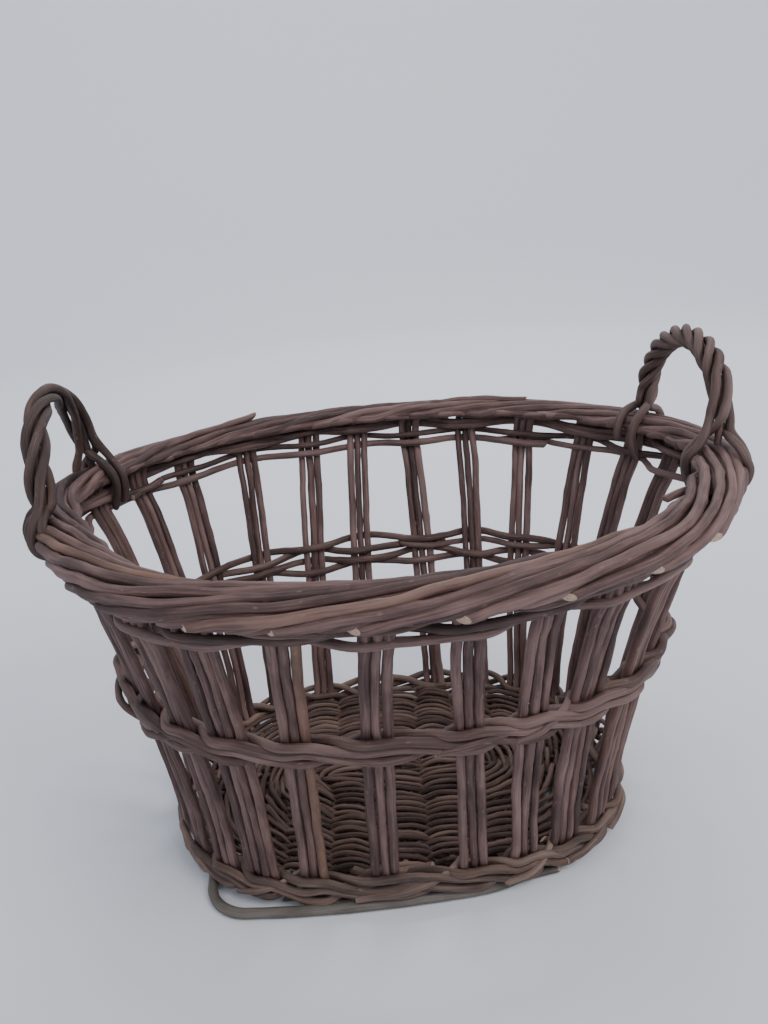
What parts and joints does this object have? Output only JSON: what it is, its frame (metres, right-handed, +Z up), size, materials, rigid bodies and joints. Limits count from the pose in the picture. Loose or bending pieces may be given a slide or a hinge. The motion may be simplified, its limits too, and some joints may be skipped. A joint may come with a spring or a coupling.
{
  "type": "wicker log basket",
  "caption": "Oval openwork willow basket with a flared stake wall, woven bands, a rolled rim, a foot hoop and two roped end handles, for carrying and keeping logs.",
  "frame": {"origin": "bottom centre of the whole basket, on the surface that the foot hoop stands on", "axes": "+X along the basket's length towards the right handle, +Y across its width, +Z up"},
  "size_m": [0.4548, 0.3875, 0.3134],
  "materials": {
    "stake_willow": "weathered unpeeled willow, grey-brown bark, matt with a faint sheen",
    "band_willow": "weathered unpeeled willow, grey-brown bark, matt",
    "upsett_willow": "weathered unpeeled willow, some rods tan where the bark has worn",
    "handle_willow": "unpeeled willow, grey-brown, lightly polished by hands",
    "base_sticks": "dark unpeeled willow sticks",
    "base_weave": "close-woven thin dark willow",
    "hoop_willow": "grey-green unpeeled willow rod, worn flat underneath"
  },
  "bodies": {
    "root": {"stakes_01": "stake_willow", "stakes_02": "stake_willow", "stakes_03": "stake_willow", "stakes_04": "stake_willow", "stakes_05": "stake_willow", "stakes_06": "stake_willow", "stakes_07": "stake_willow", "stakes_08": "stake_willow", "stakes_09": "stake_willow", "stakes_10": "stake_willow", "stakes_11": "stake_willow", "stakes_12": "stake_willow", "stakes_13": "stake_willow", "stakes_14": "stake_willow", "stakes_15": "stake_willow", "stakes_16": "stake_willow", "stakes_17": "stake_willow", "stakes_18": "stake_willow", "stakes_19": "stake_willow", "stakes_20": "stake_willow", "stakes_21": "stake_willow", "stakes_22": "stake_willow", "stakes_23": "stake_willow", "stakes_24": "stake_willow", "stakes_25": "stake_willow", "stakes_26": "stake_willow", "stakes_27": "stake_willow", "upsett_rod_1": "upsett_willow", "upsett_rod_2": "upsett_willow", "upsett_rod_3": "upsett_willow", "upsett_rod_4": "upsett_willow", "middle_band_rod_1": "band_willow", "middle_band_rod_2": "band_willow", "middle_band_rod_3": "band_willow", "middle_band_rod_4": "band_willow", "top_band_rod_1": "band_willow", "top_band_rod_2": "band_willow", "top_band_rod_3": "band_willow", "base_cross_sticks": "base_sticks", "base_long_sticks": "base_sticks", "base_weave_upper": "base_weave", "base_weave_lower": "base_weave", "foot_hoop": "hoop_willow", "handle_right_core": "handle_willow", "handle_right_rope_1": "handle_willow", "handle_right_rope_2": "handle_willow", "handle_right_rope_3": "handle_willow", "handle_left_core": "handle_willow", "handle_left_rope_1": "handle_willow", "handle_left_rope_2": "handle_willow", "handle_left_rope_3": "handle_willow"}
  },
  "joints": []
}
